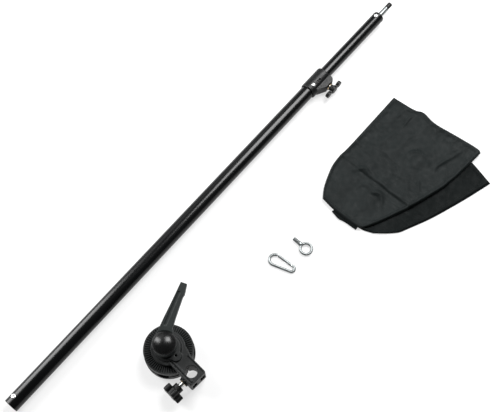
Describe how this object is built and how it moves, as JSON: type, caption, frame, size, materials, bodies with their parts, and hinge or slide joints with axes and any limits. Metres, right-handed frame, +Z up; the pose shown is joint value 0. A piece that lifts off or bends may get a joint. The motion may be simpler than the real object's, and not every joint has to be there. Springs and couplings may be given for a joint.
{
  "type": "light stand boom arm kit",
  "caption": "Telescopic boom pole with locking collar and stud, grip head with clamp lever and stand socket, snap hook, eye screw and empty folded sandbag, laid out flat.",
  "frame": {"origin": "middle of the laid-out kit's outline, on the surface it lies on", "axes": "+X along the pole towards its stud, +Z up, the loose items lie on the -Y side of the pole"},
  "size_m": [0.856, 0.32, 0.075],
  "materials": {
    "anodised_tube": "black anodised, satin gloss",
    "moulded_black": "fine moulded texture",
    "painted_casting": "black powder coat on cast aluminium",
    "painted_lever": "satin black paint on cast zinc",
    "zinc_steel": "zinc plated",
    "bright_plate": "bright plate",
    "brass_insert": "machined",
    "white_nylon": "moulded nylon",
    "bag_nylon": "plain woven nylon"
  },
  "bodies": {
    "pole_outer": {"outer_tube": "anodised_tube", "tail_plug": "moulded_black", "tail_rivets": "zinc_steel", "collar": "moulded_black", "collar_screw": "zinc_steel", "collar_insert": "brass_insert"},
    "pole_inner": {"inner_tube": "anodised_tube", "guide_bush": "white_nylon", "tip_plug": "moulded_black", "tip_rivets": "zinc_steel", "stud": "bright_plate"},
    "stud_cap": {"thread_cap": "moulded_black"},
    "collar_foot": {"collar_pad": "white_nylon"},
    "collar_wing": {"collar_knob": "moulded_black", "collar_knob_screw": "zinc_steel"},
    "head": {"head_arm": "painted_casting", "socket_insert": "brass_insert", "lever_washer": "zinc_steel"},
    "jaw_top": {"front_jaw": "painted_casting", "jaw_spring": "zinc_steel"},
    "jaw_bottom": {"back_jaw": "painted_casting", "clamp_bolt": "zinc_steel"},
    "lever_core": {"lever_insert": "zinc_steel", "lever_screw": "zinc_steel", "lever_spring": "zinc_steel"},
    "lever": {"lever_handle": "painted_lever", "lever_cap": "painted_lever"},
    "stand_foot": {"socket_pad": "brass_insert"},
    "stand_star": {"socket_knob": "moulded_black", "socket_knob_screw": "zinc_steel"},
    "hook": {"hook_body": "bright_plate", "hook_pin": "zinc_steel"},
    "gate": {"hook_gate": "bright_plate", "hook_spring": "zinc_steel"},
    "eye": {"eye_screw": "bright_plate"},
    "bag_bottom": {"bag_lower_pouch": "bag_nylon", "bag_bridge": "bag_nylon"},
    "bag_top": {"bag_upper_pouch": "bag_nylon"}
  },
  "joints": [
    {"name": "pole_extend", "type": "slide", "parent": "pole_outer", "child": "pole_inner", "axis": [1, 0, 0], "range_m": [-0.09, 0.47]},
    {"name": "cap_pull", "type": "slide", "parent": "pole_inner", "child": "stud_cap", "axis": [1, 0, 0], "range_m": [0, 0.03]},
    {"name": "collar_pad_feed", "type": "slide", "parent": "pole_outer", "child": "collar_foot", "axis": [0, -1, 0], "range_m": [0, 0.002]},
    {"name": "collar_knob_turn", "type": "hinge", "parent": "collar_foot", "child": "collar_wing", "pos_m": [0.243, 0.117, 0.013], "axis": [0, -1, 0], "range_deg": [0, 720]},
    {"name": "head_lift", "type": "slide", "parent": "pole_outer", "child": "head", "axis": [0, 0, 1], "range_m": [0, 0.15]},
    {"name": "jaw_swivel", "type": "hinge", "parent": "head", "child": "jaw_top", "pos_m": [-0.2324, 0.0328, 0.0315], "axis": [0, 0, 1], "continuous": true},
    {"name": "jaw_clamp", "type": "slide", "parent": "jaw_top", "child": "jaw_bottom", "axis": [0, 0, 1], "range_m": [-0.0026, 0.0011], "deforming": ["jaw_spring"]},
    {"name": "lever_turn", "type": "hinge", "parent": "head", "child": "lever_core", "pos_m": [-0.2324, 0.0328, 0.0515], "axis": [0, 0, -1], "range_deg": [-720, 300]},
    {"name": "lever_lift", "type": "slide", "parent": "lever_core", "child": "lever", "axis": [0, 0, 1], "range_m": [0, 0.004], "stiffness_N_per_m": 500, "springref_m": -0.004, "deforming": ["lever_spring"]},
    {"name": "stand_pad_feed", "type": "slide", "parent": "head", "child": "stand_foot", "axis": [0.9969, -0.0785, 0], "range_m": [0, 0.0026]},
    {"name": "stand_knob_turn", "type": "hinge", "parent": "stand_foot", "child": "stand_star", "pos_m": [-0.2699, -0.01039, 0.0195], "axis": [0.9969, -0.0785, 0], "range_deg": [0, 720]},
    {"name": "hook_lift", "type": "slide", "parent": "pole_outer", "child": "hook", "axis": [0, 0, 1], "range_m": [0, 0.15]},
    {"name": "gate_open", "type": "hinge", "parent": "hook", "child": "gate", "pos_m": [-0.0207, -0.01379, 0.00225], "axis": [0, 0, 1], "range_deg": [0, 22], "stiffness_Nm_per_rad": 0.02, "springref_deg": -28.65},
    {"name": "eye_lift", "type": "slide", "parent": "pole_outer", "child": "eye", "axis": [0, 0, 1], "range_m": [0, 0.15]},
    {"name": "bag_lift", "type": "slide", "parent": "pole_outer", "child": "bag_bottom", "axis": [0, 0, 1], "range_m": [0, 0.15]},
    {"name": "bag_unfold", "type": "hinge", "parent": "bag_bottom", "child": "bag_top", "pos_m": [0.084, -0.013, 0.00425], "axis": [0, -1, 0], "range_deg": [0, 90]}
  ],
  "couplings": [
    {"joint": "collar_pad_feed", "follows": "collar_knob_turn", "m_per_rad": 0.00015915},
    {"joint": "jaw_clamp", "follows": "lever_turn", "m_per_rad": 0.00019894},
    {"joint": "stand_pad_feed", "follows": "stand_knob_turn", "m_per_rad": 0.00019894}
  ]
}
